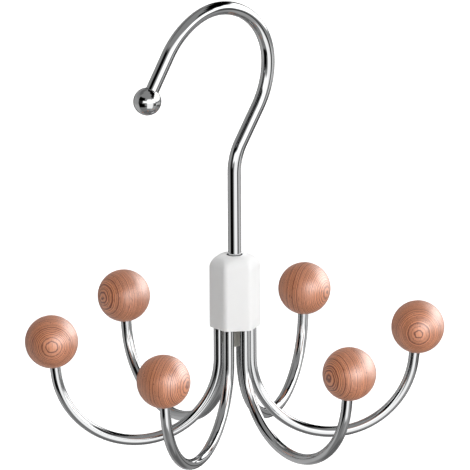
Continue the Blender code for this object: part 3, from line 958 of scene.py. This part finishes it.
class HANGER_OT_build_arms(Operator):
    """Make the six bent wire arms"""

    bl_idname = "hanger.build_arms"
    bl_label = "Arms"

    def execute(self, context):
        sizes = context.scene.hanger_arms
        chrome = bpy.data.materials["polished chrome plating"]
        places, headings, radii, _, _ = arm_path(sizes)
        for index, node in enumerate(ARM_NODES):
            grid, poles = wire_grid(places, headings, radii, arm_azimuth(sizes, index))
            dress(to_object(f"bent_arm_{index + 1}", skin(grid, poles)), node, chrome)
        return {"FINISHED"}


class HANGER_OT_build_balls(Operator):
    """Make the six turned wooden balls, each with its own grain"""

    bl_idname = "hanger.build_balls"
    bl_label = "Wooden balls"

    def execute(self, context):
        sizes, colours = context.scene.hanger_arms, context.scene.hanger_colours
        _, _, _, flat_centre, along = arm_path(sizes)
        bore, bore_top = sizes.wire / 2 + sizes.gap, sizes.grip + sizes.gap
        for index, grain in enumerate(BALL_GRAINS):
            azimuth = arm_azimuth(sizes, index)
            centre = in_plane(flat_centre[None, :], azimuth)[0]
            axis = in_plane(along[None, :], azimuth)[0] - AXIS_FOOT
            ball = bored_ball(centre, axis, sizes.ball, bore, bore_top)
            wood = beech_finish(
                f"lacquered beech {index + 1}", centre, azimuth, grain,
                colours.wood_pale, colours.wood_dark,
            )
            dress(to_object(f"turned_ball_{index + 1}", ball), f"wood_ball_{index + 1}", wood)
        return {"FINISHED"}


class HANGER_OT_build_housing(Operator):
    """Make the moulded housing with its dome, its mouth and the stops inside"""

    bl_idname = "hanger.build_housing"
    bl_label = "Housing"

    def execute(self, context):
        sizes = context.scene.hanger_housing
        first = context.scene.hanger_arms.first
        plastic = plastic_finish(context.scene.hanger_colours.plastic, sizes.mouth)
        shell = to_object("housing_shell", skin(housing_grid(sizes, first)))
        stops = to_object("stops", *housing_stops(sizes, first))
        union = shell.modifiers.new("stops", "BOOLEAN")
        union.operation, union.solver, union.object = "UNION", "EXACT", stops
        joined = shell.evaluated_get(context.evaluated_depsgraph_get())
        mesh = bpy.data.meshes.new_from_object(joined)
        shell.modifiers.clear()
        shell.data = mesh
        bpy.data.objects.remove(stops)
        dress(shell, "housing", plastic)
        return {"FINISHED"}


def dome_rows(sizes, reach, fillet, top):
    """Reach, fillet and height of a dome's rows, from its spring line to the mouth's land.

    Over a quarter turn, reach = land + (reach - land) * cos turn and height = spring + rise *
    sin turn. The corner's share of the reach grows to 1, a circle, with sin turn to the fourth.
    """
    land = sizes.mouth + sizes.mouth_land
    turn = np.linspace(0, math.pi / 2, DOME_BANDS + 1)
    width = land + (reach - land) * np.cos(turn)
    height = sizes.spring + (top - sizes.spring) * np.sin(turn)
    sharpness = fillet / reach
    roundness = sharpness + (1 - sharpness) * np.sin(turn) ** 4
    return np.stack([width, width * roundness, height], axis=1)


def housing_grid(sizes, first):
    """The housing's section, up from the rim outside and down inside, round six corners."""
    inner = sizes.reach - sizes.wall
    inner_fillet = sizes.corner - sizes.wall
    inside_top = sizes.top - sizes.wall
    rim = round_corner((0.0, sizes.rim), sizes.rim, -90.0, 0.0)
    ease = sizes.mouth_round
    edge = round_corner((sizes.mouth + ease, sizes.top - ease), ease, 90.0, 180.0)
    rows = np.concatenate([
        rim[:, [0, 0, 1]] + [sizes.reach - sizes.rim, sizes.corner - sizes.rim, 0.0],
        dome_rows(sizes, sizes.reach, sizes.corner, sizes.top),
        edge[:, [0, 0, 1]],
        [(sizes.mouth, sizes.mouth, inside_top)],
        dome_rows(sizes, inner, inner_fillet, inside_top)[::-1],
        [(inner, inner_fillet, 0.0)],
    ])
    return corner_grid(rows, first)


def housing_stops(sizes, first):
    """Wedges under the hub and ledges over it, one pair on each flat inside.

    Each is its side view (out, up) carried across the flat by half its width both ways.
    """
    inner = sizes.reach - sizes.wall
    fillet = sizes.corner - sizes.wall
    face = (inner - fillet) * math.cos(math.pi / ARM_COUNT) + fillet
    rooted, tip = face + sizes.wall / 2, face - sizes.stop_depth
    low, high = sizes.hub_base - sizes.hub_gap, sizes.spring + sizes.hub_gap
    lift, drop = sizes.stop_height, sizes.stop_height + sizes.wall
    wedge = np.array([(rooted, low), (tip, low), (rooted, low - drop)])
    ledge = np.array([(rooted, high), (rooted, high + lift), (tip, high + lift), (tip, high)])
    made = []
    for flat in range(ARM_COUNT):
        turn = first + math.pi * (2 * flat + 1) / ARM_COUNT
        across = np.array([-math.sin(turn), math.cos(turn), 0.0]) * sizes.stop_width / 2
        for side_view in (wedge, ledge):
            side = in_plane(side_view, turn)
            grid = np.stack([side - across, side + across])
            made.append(skin(grid, (grid[0].mean(axis=0), grid[1].mean(axis=0))))
    return made


class HANGER_OT_build_bearing(Operator):
    """Make the bushes and washers, and finish the hub and the clips"""

    bl_idname = "hanger.build_bearing"
    bl_label = "Bearing"

    def execute(self, context):
        sizes, colours = context.scene.hanger_housing, context.scene.hanger_colours
        nylon, steel = nylon_finish(colours.nylon), steel_finish(colours.steel)
        bore, flange, barrel = sizes.bore, sizes.flange, sizes.barrel
        step = sizes.flange_thickness
        washer = [(bore, 0.0), (flange, 0.0), (flange, sizes.washer), (bore, sizes.washer)]
        bush = [
            (bore, 0.0), (flange, 0.0), (flange, step),
            (barrel, step), (barrel, sizes.bush), (bore, sizes.bush),
        ]
        rings = (
            ("lower_bush", "lower_flanged_bush", bush, 1.0),
            ("upper_bush", "upper_flanged_bush", bush, -1.0),
            ("lower_thrust_washer", "lower_washer", washer, 1.0),
            ("upper_thrust_washer", "upper_washer", washer, -1.0),
        )
        for node, name, profile, way in rings:
            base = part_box(node)[0 if way > 0 else 1][2]
            centre = np.array([AXIS_FOOT[0], AXIS_FOOT[1], base])
            grid = turned_grid(eased(profile), centre, way * UP)
            dress(to_object(name, skin(grid)), node, nylon)
        for node, material in (("hub", nylon), ("lower_clip", steel), ("upper_clip", steel)):
            frame["nodes"][node].material_slots[0].material = material
        return {"FINISHED"}


def eased(profile):
    """A closed profile with each corner cut back by the same small length along both sides."""
    points, cuts = np.array(profile), []
    for way in (1, -1):
        side = np.roll(points, way, axis=0) - points
        side /= np.linalg.norm(side, axis=1, keepdims=True)
        cuts.append(points + side * EDGE_EASE)
    return np.stack(cuts, axis=1).reshape(-1, 2)


class HANGER_OT_build_studio(Operator):
    """Set up the floor, the light tent, the lamps and the camera"""

    bl_idname = "hanger.build_studio"
    bl_label = "Studio"

    def execute(self, context):
        context.scene.view_settings.view_transform = "Standard"
        build_floor(context.scene.hanger_colours.floor)
        build_tent()
        build_world()
        build_lamps()
        build_camera()
        return {"FINISHED"}


class HANGER_PT_sidebar(Panel):
    """Lists the hanger's pieces and their sizes"""

    bl_label = "Rotating hanger"
    bl_space_type = "VIEW_3D"
    bl_region_type = "UI"
    bl_category = "Hanger"

    def draw(self, context):
        for operator in OPERATORS:
            self.layout.operator(operator.bl_idname)
        for name, group in GROUPS.items():
            box = self.layout.box()
            for key in group.__annotations__:
                box.prop(getattr(context.scene, name), key)


OPERATORS = (
    HANGER_OT_build_hook,
    HANGER_OT_build_arms,
    HANGER_OT_build_balls,
    HANGER_OT_build_housing,
    HANGER_OT_build_bearing,
    HANGER_OT_build_studio,
)
GROUPS = {
    "hanger_hook": HangerHookSizes,
    "hanger_arms": HangerArmSizes,
    "hanger_housing": HangerHousingSizes,
    "hanger_colours": HangerColours,
}
CLASSES = (*GROUPS.values(), *OPERATORS, HANGER_PT_sidebar)


def register():
    for cls in CLASSES:
        bpy.utils.register_class(cls)
    for name, group in GROUPS.items():
        setattr(bpy.types.Scene, name, PointerProperty(type=group))


def unregister():
    for name in GROUPS:
        delattr(bpy.types.Scene, name)
    for cls in reversed(CLASSES):
        bpy.utils.unregister_class(cls)


def main():
    register()
    for operator in OPERATORS:
        group, name = operator.bl_idname.split(".")
        getattr(getattr(bpy.ops, group), name)()


if __name__ == "__main__":
    main()
